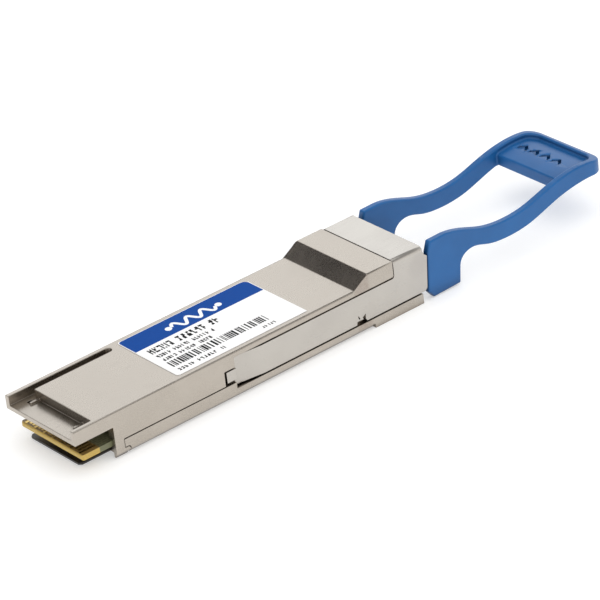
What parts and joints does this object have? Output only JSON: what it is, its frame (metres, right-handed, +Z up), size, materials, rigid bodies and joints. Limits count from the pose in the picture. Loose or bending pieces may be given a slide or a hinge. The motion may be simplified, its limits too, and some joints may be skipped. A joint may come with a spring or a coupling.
{
  "type": "optical transceiver module",
  "caption": "Slim pluggable fibre-optic transceiver: metal body with an open hood over its card edge, a fibre socket behind, a spring-loaded side latch and a blue pull tab.",
  "frame": {"origin": "on the flat underside, under the middle of the body's length and width", "axes": "+X along the module from the card-edge end to the pull tab, +Z up out of the labelled top face, Y across the width"},
  "size_m": [0.1148, 0.0184, 0.0106],
  "materials": {
    "nickel_plated_zinc": "satin nickel plating on die-cast zinc",
    "screw_steel": "plain machined steel",
    "stainless_sheet": "satin stamped sheet",
    "spring_steel": "drawn spring wire",
    "blue_plastic": "moulded, satin gloss",
    "label_foil": "printed polyester label",
    "board_laminate": "solder-masked glass laminate",
    "gold_plating": "gold plating",
    "conductive_rubber": "silver-filled silicone",
    "black_plastic": "moulded",
    "ferrule_plastic": "polished glass-filled resin",
    "fibre_coating": "acrylate-coated ribbon",
    "optical_glass": "polished glass",
    "semiconductor": "bare die",
    "chip_package": "moulded epoxy package",
    "ceramic": "sintered ceramic",
    "thermal_pad": "soft gap filler"
  },
  "bodies": {
    "housing": {"top_shell": "nickel_plated_zinc", "bottom_shell": "nickel_plated_zinc", "contact_guard": "black_plastic", "shell_screws": "screw_steel", "product_label": "label_foil", "circuit_board": "board_laminate", "edge_contacts_top": "gold_plating", "edge_contacts_bottom": "gold_plating", "emi_gasket": "conductive_rubber", "mpo_port_housing": "black_plastic", "mpo_latch_clip": "stainless_sheet", "mt_ferrule": "ferrule_plastic", "guide_pins": "screw_steel", "pin_keeper": "stainless_sheet", "ferrule_clip": "stainless_sheet", "tx_fibre_ribbon": "fibre_coating", "rx_fibre_ribbon": "fibre_coating", "tx_fibre_block": "optical_glass", "rx_fibre_block": "optical_glass", "optical_carrier": "gold_plating", "laser_chips": "semiconductor", "tx_lens_array": "optical_glass", "optical_isolator": "semiconductor", "photodiode_array": "semiconductor", "rx_prism": "optical_glass", "engine_lid": "stainless_sheet", "laser_driver": "chip_package", "receiver_amplifier": "chip_package", "retimer_chip": "chip_package", "microcontroller": "chip_package", "voltage_regulators": "chip_package", "power_inductors": "chip_package", "ceramic_capacitors": "ceramic", "chip_resistors": "chip_package", "crystal_oscillator": "stainless_sheet", "retimer_thermal_pad": "thermal_pad", "optics_thermal_pad": "thermal_pad", "return_spring_left": "spring_steel", "return_spring_right": "spring_steel"},
    "latch": {"latch_slider": "stainless_sheet", "pull_tab": "blue_plastic"}
  },
  "joints": [
    {"name": "latch_slide", "type": "slide", "parent": "housing", "child": "latch", "axis": [1, 0, 0], "range_m": [0, 0.002], "stiffness_N_per_m": 900, "springref_m": -0.0012, "deforming": ["return_spring_left", "return_spring_right"]}
  ]
}
